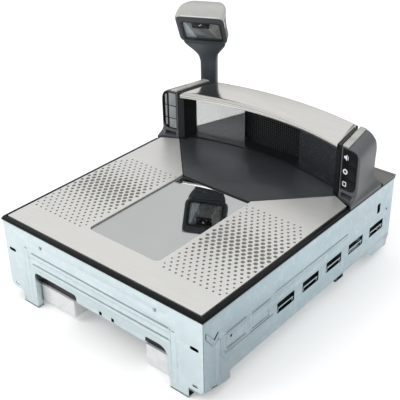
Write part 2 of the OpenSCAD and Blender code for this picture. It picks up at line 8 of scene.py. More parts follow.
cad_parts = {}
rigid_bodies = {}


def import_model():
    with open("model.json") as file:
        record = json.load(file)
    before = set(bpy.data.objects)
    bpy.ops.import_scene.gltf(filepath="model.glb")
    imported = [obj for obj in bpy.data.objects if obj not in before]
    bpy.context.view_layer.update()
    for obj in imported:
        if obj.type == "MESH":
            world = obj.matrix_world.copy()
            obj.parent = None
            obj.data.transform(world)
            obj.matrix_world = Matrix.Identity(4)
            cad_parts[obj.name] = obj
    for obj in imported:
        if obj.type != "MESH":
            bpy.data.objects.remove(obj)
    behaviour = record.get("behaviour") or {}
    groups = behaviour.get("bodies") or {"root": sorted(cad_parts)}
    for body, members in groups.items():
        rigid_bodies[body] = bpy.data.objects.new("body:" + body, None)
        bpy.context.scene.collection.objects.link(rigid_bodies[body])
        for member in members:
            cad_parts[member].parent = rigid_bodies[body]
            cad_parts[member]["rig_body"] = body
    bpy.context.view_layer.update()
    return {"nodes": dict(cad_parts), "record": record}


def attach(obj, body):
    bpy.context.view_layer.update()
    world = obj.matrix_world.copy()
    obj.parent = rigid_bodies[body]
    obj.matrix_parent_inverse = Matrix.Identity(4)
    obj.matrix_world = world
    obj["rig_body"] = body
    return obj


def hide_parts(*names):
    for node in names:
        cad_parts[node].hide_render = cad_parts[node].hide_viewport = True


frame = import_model()

NODES = frame["nodes"]
BODY_OF = {o.name: o["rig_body"] for o in NODES.values()}
MM = 0.001
HALF_LENGTH = 178.0  # the front panel's face is this far in front of the origin, in mm


def P(x, y, z):
    """A point from millimetres: x from the middle, y from the front panel's face, z from the feet."""
    return Vector((x * MM, (y - HALF_LENGTH) * MM, z * MM))


# ---------------------------------------------------------------- materials


def nodes_of(mat):
    """A material's node tree and its shader."""
    mat.use_nodes = True
    tree = mat.node_tree
    return tree, tree.nodes["Principled BSDF"]


def noise(tree, scale, stretch=(1, 1, 1), detail=3.0, rough=0.5):
    """A noise texture on the piece's own coordinates."""
    coord = tree.nodes.new("ShaderNodeTexCoord")
    mapping = tree.nodes.new("ShaderNodeMapping")
    mapping.inputs["Scale"].default_value = stretch
    tex = tree.nodes.new("ShaderNodeTexNoise")
    tex.inputs["Scale"].default_value = scale
    tex.inputs["Detail"].default_value = detail
    tex.inputs["Roughness"].default_value = rough
    tree.links.new(coord.outputs["Object"], mapping.inputs["Vector"])
    tree.links.new(mapping.outputs["Vector"], tex.inputs["Vector"])
    return tex


def finish_material(name, color, rough, metal=0.0, tint=0.06, tint_scale=60, tint_stretch=(1, 1, 1),
                    rough_vary=0.06, bump=0.0, bump_scale=900, bump_stretch=(1, 1, 1), detail=3.0,
                    alpha=1.0, ior=1.5, coat=0.0, spots=None, spec=0.5, painted_shade_ramp=None,
                    dots=None, crease_shade=0.0):
    """One procedural finish: colour mottling, uneven gloss and a fine relief, with painted shade in creases
    and along y where asked.
    """
    mat = bpy.data.materials.new(name)
    tree, shader = nodes_of(mat)
    links = tree.links
    shader.inputs["Metallic"].default_value = metal
    shader.inputs["IOR"].default_value = ior
    shader.inputs["Alpha"].default_value = alpha
    shader.inputs["Specular IOR Level"].default_value = spec
    if coat:
        shader.inputs["Coat Weight"].default_value = coat
        shader.inputs["Coat Roughness"].default_value = 0.06
    broad = noise(tree, tint_scale, tint_stretch, detail)
    ramp = tree.nodes.new("ShaderNodeValToRGB")
    ramp.color_ramp.elements[0].position = 0.3
    ramp.color_ramp.elements[1].position = 0.7
    ramp.color_ramp.elements[0].color = [c * (1 - tint) for c in color] + [1]
    ramp.color_ramp.elements[1].color = [min(1, c * (1 + tint)) for c in color] + [1]
    links.new(broad.outputs["Fac"], ramp.inputs["Fac"])
    color_out = ramp.outputs["Color"]
    if spots:
        spot_color, size, share = spots
        cells = tree.nodes.new("ShaderNodeTexVoronoi")
        cells.inputs["Scale"].default_value = size
        coord = tree.nodes.new("ShaderNodeTexCoord")
        links.new(coord.outputs["Object"], cells.inputs["Vector"])
        parts = tree.nodes.new("ShaderNodeSeparateColor")
        links.new(cells.outputs["Color"], parts.inputs["Color"])
        cut = tree.nodes.new("ShaderNodeMapRange")
        cut.inputs["From Min"].default_value = 1 - share
        cut.inputs["From Max"].default_value = 1
        links.new(parts.outputs["Red"], cut.inputs["Value"])
        mix = tree.nodes.new("ShaderNodeMix")
        mix.data_type = "RGBA"
        links.new(cut.outputs["Result"], mix.inputs["Factor"])
        links.new(color_out, mix.inputs["A"])
        mix.inputs["B"].default_value = (*spot_color, 1)
        color_out = mix.outputs["Result"]
    if dots:
        dot_color, per_metre, reach = dots
        grid = tree.nodes.new("ShaderNodeTexVoronoi")
        grid.inputs["Scale"].default_value = per_metre
        grid.inputs["Randomness"].default_value = 0.0
        place = tree.nodes.new("ShaderNodeTexCoord")
        links.new(place.outputs["Object"], grid.inputs["Vector"])
        edge = tree.nodes.new("ShaderNodeMapRange")
        edge.inputs["From Min"].default_value = reach
        edge.inputs["From Max"].default_value = reach * 0.6
        links.new(grid.outputs["Distance"], edge.inputs["Value"])
        dotted = tree.nodes.new("ShaderNodeMix")
        dotted.data_type = "RGBA"
        links.new(edge.outputs["Result"], dotted.inputs["Factor"])
        links.new(color_out, dotted.inputs["A"])
        dotted.inputs["B"].default_value = (*dot_color, 1)
        color_out = dotted.outputs["Result"]
    # painted shade: the colour is multiplied by a ramp along the piece's y, from shade at near_y up to full
    # at far_y
    if painted_shade_ramp:
        near_y, far_y, shade = painted_shade_ramp
        place = tree.nodes.new("ShaderNodeTexCoord")
        split_y = tree.nodes.new("ShaderNodeSeparateXYZ")
        links.new(place.outputs["Object"], split_y.inputs["Vector"])
        along = tree.nodes.new("ShaderNodeMapRange")
        along.inputs["From Min"].default_value = near_y
        along.inputs["From Max"].default_value = far_y
        along.inputs["To Min"].default_value = shade
        links.new(split_y.outputs["Y"], along.inputs["Value"])
        dim = tree.nodes.new("ShaderNodeMix")
        dim.data_type = "RGBA"
        dim.blend_type = "MULTIPLY"
        dim.inputs["Factor"].default_value = 1.0
        links.new(color_out, dim.inputs["A"])
        links.new(along.outputs["Result"], dim.inputs["B"])
        color_out = dim.outputs["Result"]
    # painted shade: ambient occlusion darkens the colour in creases, recesses and round the beads
    if crease_shade:
        crease = tree.nodes.new("ShaderNodeAmbientOcclusion")
        crease.samples = 8
        crease.inputs["Distance"].default_value = 0.004
        deepen = tree.nodes.new("ShaderNodeMapRange")
        deepen.inputs["From Min"].default_value = 0.45
        deepen.inputs["From Max"].default_value = 0.95
        deepen.inputs["To Min"].default_value = 1 - crease_shade
        links.new(crease.outputs["AO"], deepen.inputs["Value"])
        shade_mix = tree.nodes.new("ShaderNodeMix")
        shade_mix.data_type = "RGBA"
        shade_mix.blend_type = "MULTIPLY"
        shade_mix.inputs["Factor"].default_value = 1.0
        links.new(color_out, shade_mix.inputs["A"])
        links.new(deepen.outputs["Result"], shade_mix.inputs["B"])
        color_out = shade_mix.outputs["Result"]
    links.new(color_out, shader.inputs["Base Color"])
    fine = noise(tree, bump_scale, bump_stretch, 2.0, 0.6)
    gloss = tree.nodes.new("ShaderNodeMapRange")
    gloss.inputs["To Min"].default_value = max(0.0, rough - rough_vary)
    gloss.inputs["To Max"].default_value = rough + rough_vary
    links.new(fine.outputs["Fac"], gloss.inputs["Value"])
    links.new(gloss.outputs["Result"], shader.inputs["Roughness"])
    if bump:
        relief = tree.nodes.new("ShaderNodeBump")
        relief.inputs["Strength"].default_value = bump
        relief.inputs["Distance"].default_value = 0.0002
        links.new(fine.outputs["Fac"], relief.inputs["Height"])
        links.new(relief.outputs["Normal"], shader.inputs["Normal"])
    return mat


ALONG_X = (0.06, 1, 1)
MATS = {
    # zinc of the front sheet; crease_shade paints shade into its creases and round its beads
    "zinc_sheet": finish_material("zinc_sheet", (0.555, 0.64, 0.665), 0.25, 1, 0.03, 40, rough_vary=0.04,
                                  bump=0.05, bump_scale=700, spots=((0.60, 0.68, 0.70), 200, 0.4),
                                  crease_shade=0.75),
    "stainless": finish_material("stainless", (0.63, 0.625, 0.605), 0.38, 0.6, 0.03, 600, ALONG_X,
                                 rough_vary=0.05, bump=0.12, bump_scale=2600, bump_stretch=ALONG_X),
    "white_metal": finish_material("white_metal", (0.70, 0.715, 0.72), 0.5, 0.25, 0.06, 140,
                                   bump=0.25, bump_scale=900),
    "black_plastic": finish_material("black_plastic", (0.009, 0.0095, 0.0105), 0.40, 0, 0.2, 90,
                                     bump=0.3, bump_scale=2600, spec=0.25),
    "charcoal_plastic": finish_material("charcoal_plastic", (0.040, 0.048, 0.055), 0.44, 0, 0.1, 110,
                                        bump=0.4, bump_scale=2400, spec=0.4),
    "grey_plastic": finish_material("grey_plastic", (0.078, 0.083, 0.090), 0.42, 0.1, 0.05, 120,
                                    bump=0.4, bump_scale=2600),
    "silver_plastic": finish_material("silver_plastic", (0.42, 0.418, 0.40), 0.36, 0.3, 0.03, 130,
                                      bump=0.2, bump_scale=3000, spots=((0.5, 0.5, 0.48), 2600, 0.3)),
    "gloss_black": finish_material("gloss_black", (0.010, 0.012, 0.015), 0.34, 0, 0.25, 70,
                                   rough_vary=0.05, bump=0.03, bump_scale=300, spec=0.3),
    "deck_metal": finish_material("deck_metal", (0.16, 0.158, 0.152), 0.33, 0.8, 0.05, 500, ALONG_X,
                                  bump=0.15, bump_scale=2200, bump_stretch=ALONG_X),
    "clear_glass": finish_material("clear_glass", (0.50, 0.52, 0.515), 0.02, 1, 0.015, 30,
                                   rough_vary=0.008, bump=0.0, bump_scale=200, alpha=0.86),
    "smoked_glass": finish_material("smoked_glass", (0.03, 0.035, 0.04), 0.02, 0, 0.05, 40,
                                    rough_vary=0.008, alpha=0.07, ior=1.45),
    "mirror": finish_material("mirror", (0.74, 0.77, 0.78), 0.04, 1, 0.02, 80, rough_vary=0.02),
    "rubber": finish_material("rubber", (0.016, 0.016, 0.017), 0.6, 0, 0.15, 150, bump=0.4,
                              bump_scale=1800),
    "alloy": finish_material("alloy", (0.55, 0.56, 0.57), 0.38, 1, 0.05, 160, bump=0.2, bump_scale=1200),
    "cast": finish_material("cast", (0.32, 0.33, 0.34), 0.55, 0.6, 0.1, 200, bump=0.6, bump_scale=1000),
    "circuit_board": finish_material("circuit_board", (0.012, 0.09, 0.04), 0.35, 0, 0.15, 240,
                                     bump=0.1, bump_scale=800, spots=((0.05, 0.2, 0.1), 500, 0.25)),
    "electronics": finish_material("electronics", (0.03, 0.03, 0.032), 0.45, 0, 0.3, 180, bump=0.2),
    "led_strip": finish_material("led_strip", (0.8, 0.78, 0.7), 0.4, 0, 0.05, 300, bump=0.1),
    "screw_steel": finish_material("screw_steel", (0.45, 0.46, 0.47), 0.3, 1, 0.08, 500, bump=0.2),
}
EXTRA = {
    "polished": finish_material("polished_steel", (0.60, 0.59, 0.565), 0.13, 1, 0.03, 500, ALONG_X,
                                rough_vary=0.03, bump=0.05, bump_scale=2200, bump_stretch=ALONG_X),
    "liner": finish_material("perforation_liner", (0.17, 0.168, 0.155), 0.5, 0, 0.12, 300, bump=0.2),
    # the side sheets' zinc: a darker copy of zinc_sheet as painted shade on the sides, darker still towards
    # the front (painted shade ramp) and in creases (painted crease shade)
    "zinc_side": finish_material("zinc_side", (0.42, 0.515, 0.56), 0.25, 1, 0.03, 40, rough_vary=0.04,
                                 bump=0.05, bump_scale=700, spots=((0.47, 0.56, 0.60), 200, 0.4), crease_shade=0.75,
                                 painted_shade_ramp=(-0.17, 0.0, 0.72)),
    # grey speckled lenses: painted reflection of the perforated platter in the glossy black lenses
    "lens": finish_material("indicator_lens", (0.21, 0.22, 0.228), 0.22, 0, 0.1, 260, rough_vary=0.08,
                            spots=((0.26, 0.27, 0.275), 900, 0.3)),
    "grille": finish_material("grille_black", (0.008, 0.008, 0.009), 0.5, 0, 0.2, 300, bump=0.2, spec=0.2,
                              dots=((0.13, 0.135, 0.14), 330, 0.3)),
    "cap_dark": finish_material("cap_black", (0.005, 0.006, 0.007), 0.36, 0, 0.2, 90, bump=0.2, spec=0.12),
    "symbol": finish_material("symbol_white", (0.78, 0.80, 0.80), 0.5, 0, 0.04, 400, bump=0.1),
    "foot": finish_material("foot_black", (0.030, 0.033, 0.037), 0.42, 0, 0.1, 90, bump=0.3,
                            bump_scale=2800, spec=0.35),
    "dim_mirror": finish_material("dim_mirror", (0.30, 0.33, 0.34), 0.08, 1, 0.02, 80, rough_vary=0.02),
    "facet_blue": finish_material("facet_blue", (0.42, 0.48, 0.52), 0.25, 0.1, 0.04, 90),
    "facet_grey": finish_material("facet_grey", (0.17, 0.175, 0.18), 0.22, 0.1, 0.06, 90),
    "facet_warm": finish_material("facet_warm", (0.24, 0.237, 0.23), 0.22, 0.1, 0.05, 90),
}

NODE_SLOT = {}
for entry in frame["record"]["materials"]:
    for node in entry.get("nodes") or []:
        NODE_SLOT[node] = entry["slot"]
for name, obj in NODES.items():
    for s in obj.material_slots:
        base = s.material.name.split(".")[0] if s.material else ""
        slot_name = NODE_SLOT.get(name, base)
        s.material = MATS.get(slot_name, MATS["black_plastic"])
        NODE_SLOT.setdefault(name, slot_name)


for node, finish in (("tower_glass", MATS["smoked_glass"]), ("upper_mirror_right", EXTRA["dim_mirror"])):
    for s in NODES[node].material_slots:
        s.material = finish


# ---------------------------------------------------------------- mesh tools


def rounded(points, steps=5):
    """An outline whose corners (u, v, reach) are turned along smooth curves."""
    out = []
    count = len(points)
    for i, p in enumerate(points):
        here = Vector(p[:2])
        if len(p) < 3 or not p[2]:
            out.append(here)
            continue
        a = Vector(points[i - 1][:2]) - here
        b = Vector(points[(i + 1) % count][:2]) - here
        reach = min(p[2], a.length * 0.49, b.length * 0.49)
        start, end = here + a.normalized() * reach, here + b.normalized() * reach
        for k in range(steps + 1):
            f = k / steps
            out.append(start * (1 - f) ** 2 + here * 2 * f * (1 - f) + end * f * f)
    return out


def circle(u, v, r, n=16):
    """A round outline with n points."""
    return [Vector((u + r * math.cos(2 * math.pi * k / n), v + r * math.sin(2 * math.pi * k / n)))
            for k in range(n)]


def stadium(u, v, length, width, turn=0.0, n=6):
    """A slot's outline, turned by some degrees about its middle."""
    pts = []
    for side, start in ((1, -90), (-1, 90)):
        for k in range(n + 1):
            a = math.radians(start + 180 * k / n)
            pts.append((side * (length - width) / 2 + width / 2 * math.cos(a), width / 2 * math.sin(a)))
    c, s = math.cos(math.radians(turn)), math.sin(math.radians(turn))
    return [Vector((u + x * c - y * s, v + x * s + y * c)) for x, y in pts]


def rect(u0, v0, u1, v1, r=0.0, steps=4):
    """A rectangle's outline, with rounded corners where r is given."""
    return rounded([(u0, v0, r), (u1, v0, r), (u1, v1, r), (u0, v1, r)], steps)


def plate(bm, loops, near, far, at):
    """A flat sheet between two depths. The first loop is its outline and the others are holes."""
    edges = []
    for loop in loops:
        vs = [bm.verts.new(at(p[0], p[1], near)) for p in loop]
        edges += [bm.edges.new((vs[i - 1], vs[i])) for i in range(len(vs))]
    filled = bmesh.ops.triangle_fill(bm, use_beauty=False, use_dissolve=False, edges=edges)
    faces = [g for g in filled["geom"] if isinstance(g, bmesh.types.BMFace)]
    made = bmesh.ops.extrude_face_region(bm, geom=faces)
    shift = at(0, 0, far) - at(0, 0, near)
    for g in made["geom"]:
        if isinstance(g, bmesh.types.BMVert):
            g.co += shift


def skin(bm, rings, at, closed=False, cap_start=True, cap_end=True):
    """Quads between outlines with equal counts. Each ring is (outline, depth)."""
    rows = [[bm.verts.new(at(p[0], p[1], d)) for p in loop] for loop, d in rings]
    n = len(rows[0])
    pairs = list(zip(rows, rows[1:])) + ([(rows[-1], rows[0])] if closed else [])
    for a, b in pairs:
        for i in range(n):
            j = (i + 1) % n
            bm.faces.new((a[i], a[j], b[j], b[i]))
    if not closed:
        if cap_start:
            bm.faces.new(rows[0][::-1])
        if cap_end:
            bm.faces.new(rows[-1])


def slab(bm, a, b, at):
    """A plain box between two opposite corners."""
    skin(bm, [(rect(a[0], a[1], b[0], b[1]), a[2]), (rect(a[0], a[1], b[0], b[1]), b[2])], at)


def piece(name, bm, mat, body, replaces=(), ease=0.0, smooth=35, segments=2, cutters=(),
          flat_over=None):
    """Finishes a mesh: cuts, eased edges, smooth shading, material and body."""
    bmesh.ops.recalc_face_normals(bm, faces=bm.faces)
    mesh = bpy.data.meshes.new(name)
    bm.to_mesh(mesh)
    bm.free()
    obj = bpy.data.objects.new(name, mesh)
    bpy.context.scene.collection.objects.link(obj)
    tools = []
    for k, cutter_bm in enumerate(cutters):
        bmesh.ops.recalc_face_normals(cutter_bm, faces=cutter_bm.faces)
        cut_mesh = bpy.data.meshes.new(f"{name}_cutter{k}")
        cutter_bm.to_mesh(cut_mesh)
        cutter_bm.free()
        tool = bpy.data.objects.new(cut_mesh.name, cut_mesh)
        bpy.context.scene.collection.objects.link(tool)
        mod = obj.modifiers.new(f"cut{k}", "BOOLEAN")
        mod.object = tool
        mod.operation = "DIFFERENCE"
        mod.solver = "EXACT"
        tools.append(tool)
    if ease:
        mod = obj.modifiers.new("ease", "BEVEL")
        mod.width = ease * MM
        mod.segments = segments
        mod.limit_method = "ANGLE"
        mod.angle_limit = math.radians(32)
    if obj.modifiers:
        bpy.context.view_layer.update()
        final = bpy.data.meshes.new_from_object(obj.evaluated_get(bpy.context.evaluated_depsgraph_get()))
        obj.modifiers.clear()
        obj.data = final
        final.name = name
    for tool in tools:
        bpy.data.objects.remove(tool)
    for poly in obj.data.polygons:
        poly.use_smooth = flat_over is None or poly.area < flat_over * MM * MM
    obj.data.set_sharp_from_angle(angle=math.radians(smooth))
    obj.data.materials.clear()
    obj.data.materials.append(mat)
    for poly in obj.data.polygons:
        poly.material_index = 0
    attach(obj, body)
    if replaces:
        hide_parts(*replaces)
    return obj


def eased(node, ease, mat=None, smooth=35, segments=2, flat_over=None):
    """The CAD node's own shape with its edges broken, which stands for the node."""
    bm = bmesh.new()
    bm.from_mesh(NODES[node].data)
    bmesh.ops.remove_doubles(bm, verts=bm.verts, dist=2e-6)
    bmesh.ops.dissolve_limit(bm, angle_limit=math.radians(1.0), verts=bm.verts, edges=bm.edges)
    slot_name = NODE_SLOT[node]
    return piece(node + "_eased", bm, mat or MATS[slot_name], BODY_OF[node], (node,), ease,
                 smooth, segments, flat_over=flat_over)


def curve_rows(rows, per=4):
    """Rows of numbers with smooth in-between rows (Catmull-Rom)."""
    out = []
    for i in range(len(rows) - 1):
        a, b, c, d = (rows[max(0, i - 1)], rows[i], rows[i + 1], rows[min(len(rows) - 1, i + 2)])
        for k in range(per):
            t = k / per
            out.append([0.5 * (2 * q + (r - p) * t + (2 * p - 5 * q + 4 * r - s) * t * t
                               + (3 * q - p - 3 * r + s) * t ** 3) for p, q, r, s in zip(a, b, c, d)])
    return out + [list(rows[-1])]


# ---------------------------------------------------------------- base

# each turns a sheet's own (u, v, depth) into a place in the frame
front = lambda u, v, d: P(u, d, v)
right = lambda u, v, d: P(d, u, v)
left = lambda u, v, d: P(-d, u, v)
flat = lambda u, v, d: P(u, v, d)

SHEET = 1.0             # thickness of the sheet metal
FRONT_FACE = 1.0        # the front sheet's face behind the tops of its beads
SIDE_FACE = 145.0       # the side sheets' faces
SIDE_PROUD = 146.0      # tops of the beads on the side sheets
WINDOWS, WINDOW_Y, WINDOW_PITCH, WINDOW_LENGTH = 5, 119.5, 46.5, 31

bm = bmesh.new()
outline = rounded([
    (-144.6, 101.5), (-144.6, 18, 2), (-140, 14, 1.5), (-125, 14, 2), (-125, 0.2, 1), (-101, 0.2, 1),
    (-100, 50, 6), (-32, 50, 4), (-32, 41, 2), (3, 41, 1), (3, 47, 0.8), (7, 47, 0.8), (7, 41, 1),
    (21, 41, 1), (21, 47, 0.8), (25, 47, 0.8), (25, 41, 1), (69, 41, 2), (69, 48.5, 4), (98.5, 48.5, 12),
    (98.5, 16, 2), (101, 10, 2), (101, 0.2, 1), (125, 0.2, 1), (125, 14, 2), (140, 14, 1.5),
    (144.6, 18, 2), (144.6, 101.5)])
holes = [stadium(s * 134, 66.5, 11, 4) for s in (-1, 1)] + [stadium(s * 134, 20, 7, 3) for s in (-1, 1)]
holes += [circle(x, 88, 1.6) for x in (-84, 84)]
holes += [circle(103.2, 74.2, 1.0, 8), circle(103.6, 60.5, 1.0, 8)]
plate(bm, [outline] + holes, FRONT_FACE, FRONT_FACE + SHEET, front)
for z in (58.5, 72.5):
    skin(bm, [(stadium(0, z, 207, 7.6), 1.1), (stadium(0, z, 206, 6.6), 0.9),
              (stadium(0, z, 203.8, 4.4), 0.15), (stadium(0, z, 202.8, 3.4), 0)], front)
for u0, u1, v0, v1 in ((-113.5, -106, 6, 80), (103.4, 111, 6, 75)):
    skin(bm, [(rect(u0, v0, u1, v1, 3), 1.1), (rect(u0 + 0.4, v0 + 0.4, u1 - 0.4, v1 - 0.4, 2.8), 0.9),
              (rect(u0 + 1.6, v0 + 1.6, u1 - 1.6, v1 - 1.6, 1.6), 0.15),
              (rect(u0 + 2.4, v0 + 2.4, u1 - 2.4, v1 - 2.4, 1), 0)], front)
slab(bm, (-143, 100.6, 0.9), (143, 101.6, 12), front)
for s in (-1, 1):
    slab(bm, (s * 101.8 - 0.6, 0.3, 1.2), (s * 101.8 + 0.6, 48, 9.4), front)
    slab(bm, (s * 113 - 12, 0.0, 1.0), (s * 113 + 12, 1.2, 9.4), front)
slab(bm, (-98, 50, 1.2), (-34, 51.2, 8), front)
slab(bm, (-30, 41, 1.2), (67, 42.2, 8), front)
piece("front_panel_sheet", bm, MATS["zinc_sheet"], "base", ("front_panel",), 0.22,
      flat_over=3)


def frame_bead(bm, u0, v0, u1, v1, at, face=SIDE_FACE - 0.05, proud=SIDE_PROUD, w=3.4):
    """A pressed rectangular frame: a raised line round a flat field."""
    rings = []
    for grow, d in ((w * 0.6, face), (w * 0.12, proud), (-w * 0.12, proud), (-w * 0.6, face)):
        rings.append((rect(u0 - grow, v0 - grow, u1 + grow, v1 + grow, 3 + grow), d))
    skin(bm, rings, at, closed=True)


def long_bead(bm, u, v, length, width, slope, turn, at):
    """A straight pressed bead: a foot, a shoulder and a slightly smaller flat top."""
    skin(bm, [(stadium(u, v, length, width, turn), SIDE_FACE - 0.1),
              (stadium(u, v, length - slope, width - slope, turn), SIDE_PROUD - 0.15),
              (stadium(u, v, length - slope - 1, width - slope - 1, turn), SIDE_PROUD)], at)


for side, at in (("right", right), ("left", left)):
    bm = bmesh.new()
    outline = rounded([(1.8, 101.5), (1.8, 16, 2), (30, 9.5, 2), (41.6, 8.6, 2), (42, 19.5, 2),
                       (303, 21.5, 3), (318, 9, 3), (351, 9, 2), (352, 16, 2), (354.6, 23, 2),
                       (354.6, 101.5)])
    loops = [outline]
    window_starts = [WINDOW_Y + WINDOW_PITCH * i for i in range(WINDOWS)]
    for y in window_starts:
        loops.append(rect(y, 41, y + WINDOW_LENGTH, 54.5, 1.5))
    loops += [rect(319.8, 67.5, 326.4, 80, 1.2), circle(342.5, 64.5, 1.5, 10), circle(43, 62, 1.6, 10),
              stadium(17.5, 15.6, 10, 3, -12)]
    plate(bm, loops, SIDE_FACE, SIDE_FACE - SHEET, at)
    long_bead(bm, 184, 70.5, 144.4, 5.2, 2.6, 0, at)
    frame_bead(bm, 33, 50, 67, 69.5, at)
    frame_bead(bm, 74, 48.5, 107, 68.5, at)
    long_bead(bm, 71.5, 44.3, 84, 5, 2.4, 0, at)
    long_bead(bm, 23, 42, 58, 8, 3, 90, at)
    # the tongue bent in under each window
    for y in window_starts:
        slab(bm, (y + 2, 46.2, 136.8), (y + 29, 47.8, SIDE_FACE - 0.1), at)
        slab(bm, (y + 2, 40.2, 136.8), (y + 29, 46.4, 138), at)
        for e in (y + 2, y + 27.8):
            slab(bm, (e, 40.2, 137), (e + 1.2, 46.4, 144.2), at)
    # folded front flange with its hook
    slab(bm, (2.4, 20, 139.6), (3.4, 100, 144.2), at)
    hook = rounded([(5, 88), (17, 73, 1), (23, 79), (25, 76), (18, 68, 1), (14.5, 68, 1), (5, 81)])
    skin(bm, [(hook, SIDE_FACE - 0.1), (hook, SIDE_PROUD - 0.1)], at)
    slab(bm, (46, 20.8, 134), (300, 22, 144.2), at)
    piece(f"side_panel_{side}_sheet", bm, EXTRA["zinc_side"], "base",
          (f"side_panel_{side}",), 0.2, flat_over=3)

eased("rear_panel", 0.25, flat_over=3)
for node in ("bracket_left", "bracket_right"):
    eased(node, 0.5)
eased("cable_clip", 0.4)
for node in ("rim_front", "rim_left", "rim_right"):
    eased(node, 0.35, EXTRA["cap_dark"])
eased("floor_pan", 0.2)
eased("front_beam", 0.5)

# ---------------------------------------------------------------- platter

PLATTER_TOP, PLATTER_T = 106.8, 1.5
ROW_PITCH, HALF_PITCH = 5.61, 3.975


def perforations():
    """Rows of holes, staggered by half a pitch, largest across the middle of the field."""
    found = []
    for row in range(27):
        y = 40.6 + row * ROW_PITCH
        start = 132.9 if row % 2 == 0 else 136.8
        r = 1.3 + 1.4 * math.exp(-((y - 119) / 38) ** 2)
        inner = 55 if y < 183 else 52
        for j in range(12):
            x = start - 2 * HALF_PITCH * j
            if x < inner or (x > 130 and y > 176):
                continue
            near_edge = 0.85 if x > 135 or x < 58 else 1.0
            found.append((x, y, r * near_edge))
    return found


PLATTER_UNDER = PLATTER_TOP - PLATTER_T
FOLD_X, FOLD_LOW = 138.4, PLATTER_TOP - 3.5     # inner face and lower edge of the folds

bm = bmesh.new()
# the window is open at the foot cover, so it is part of the outline
outline = rounded([(-139.9, 5.6, 0.8), (139.9, 5.6, 0.8), (139.9, 255, 1), (118.4, 266.2, 1),
                   (51, 196.6, 0.5), (51, 42.5, 8), (-51, 42.5, 8), (-51, 196.6, 0.5),
                   (-118.4, 266.2, 1), (-139.9, 255, 1)], 5)
loops = [outline]
for x, y, r in perforations():
    for s in (-1, 1):
        loops.append(circle(s * x, y, r, 14))
plate(bm, loops, PLATTER_TOP, PLATTER_TOP - PLATTER_T, flat)
# the folds hanging from its two sides and its front
for s in (-1, 1):
    low, high = sorted((s * FOLD_X, s * 139.9))
    slab(bm, (low, 5.8, FOLD_LOW), (high, 250, PLATTER_UNDER + 0.2), flat)
slab(bm, (-FOLD_X, 5.7, FOLD_LOW), (FOLD_X, 7.1, PLATTER_UNDER + 0.2), flat)
piece("platter_plate", bm, MATS["stainless"], "platter", ("platter",), 0.0, 30)

bm = bmesh.new()
for s in (-1, 1):
    low, high = sorted((s * 53, s * 138))
    plate(bm, [rect(low, 37, high, 190, 3)], PLATTER_UNDER - 0.05, PLATTER_UNDER - 0.5, flat)
piece("perforation_liner", bm, EXTRA["liner"], "platter")

eased("platter_gasket", 0.1)
eased("foot_cover", 0.3, EXTRA["foot"])
eased("rear_deck", 0.3)

# ---------------------------------------------------------------- bonnet

ARC_Y, LIP_R, BACK_R, TOP_Z = -53.0, 340.0, 393.0, 171.5
ARC_STEPS = 40
FRONT_POINTS = ARC_STEPS + 1    # points of the outline that lie on its front edge


def bonnet_outline(grow):
    """Plan of the cover: its front edge from left to right, then its back edge home."""
    def arc(r, x0, x1):
        xs = [x0 + (x1 - x0) * k / ARC_STEPS for k in range(ARC_STEPS + 1)]
        return [Vector((x, ARC_Y + math.sqrt(r * r - x ** 2))) for x in xs]
    return arc(LIP_R - grow, -115.4 - grow, 115.4 + grow) + arc(BACK_R + grow, 106.3 + grow, -106.3 - grow)


bm = bmesh.new()
skin(bm, [(bonnet_outline(-1.3), TOP_Z - 6.8), (bonnet_outline(-0.1), TOP_Z - 6.8),
          (bonnet_outline(0), TOP_Z - 6.5), (bonnet_outline(0), TOP_Z - 3.0),
          (bonnet_outline(-0.25), TOP_Z - 2.4), (bonnet_outline(-3.4), TOP_Z - 0.25),
          (bonnet_outline(-4.0), TOP_Z - 0.05), (bonnet_outline(-4.8), TOP_Z)], flat)
piece("bonnet_skin", bm, EXTRA["polished"], "base", ("bonnet_cover",), 0.0, 24)
# the cover's rear wall below the lip line
bm = bmesh.new()
skirt = bonnet_outline(0)[FRONT_POINTS:]
wall = [Vector((p[0], p[1])) for p in skirt] + [Vector((p[0], p[1] - 1.2)) for p in reversed(skirt)]
skin(bm, [(wall, TOP_Z - 14), (wall, TOP_Z - 6.0)], flat)
piece("bonnet_rear_wall", bm, EXTRA["polished"], "base", (), 0.15)

bm = bmesh.new()
shelf = bonnet_outline(-13)[:FRONT_POINTS] + bonnet_outline(-5)[FRONT_POINTS:]
plate(bm, [shelf], 106.2, 105.4, flat)
piece("upright_shelf", bm, MATS["black_plastic"], "base", (), 0.0)
bm = bmesh.new()
slab(bm, (-46, 108.4, 316.9), (40, 165.2, 317.9), front)
piece("upper_grille_mesh", bm, EXTRA["grille"], "base", (), 0.1)

# ---------------------------------------------------------------- end caps

CAP_X, CAP_Y = 120.1, 267.9
FOOT_SLOPE, KEY_SLOPE = math.radians(-19.5), math.radians(-8)
# one row per height: z, then x of the front corner, x and y of the outer and of the rear corner
CAP_ROWS = [[104, 139.6, 145.8, 253.8, 145.8, 323.6], [106, 139.7, 145.75, 254, 145.6, 323.5],
            [108, 139.8, 145.7, 254.6, 145, 323.4], [110, 141, 145.6, 257.6, 142, 322.8],
            [113, 143, 145.5, 262.2, 139, 321.6], [117, 143.9, 145.6, 265.6, 137, 320.6],
            [122, 144.2, 145.7, 266.2, 136.2, 320], [140, 144.4, 145.8, 266.4, 136.6, 319.6],
            [152, 144.4, 145.9, 266.4, 137, 319.5], [157, 144.3, 145.8, 266.4, 136.4, 319.6],
            [161, 143.8, 145.3, 266.4, 135.2, 319.8], [164.5, 142.2, 143.8, 266.6, 132.6, 320],
            [167.5, 139.4, 141.1, 267, 129, 320.4], [169.6, 135.8, 137.5, 267.6, 124.6, 320.8],
            [170.5, 131.2, 132.8, 268.4, 121.5, 321]]
KEY_EDGE = (117.6, 132.5, 149.8, 169.0)     # heights that bound the three keys and the three lenses
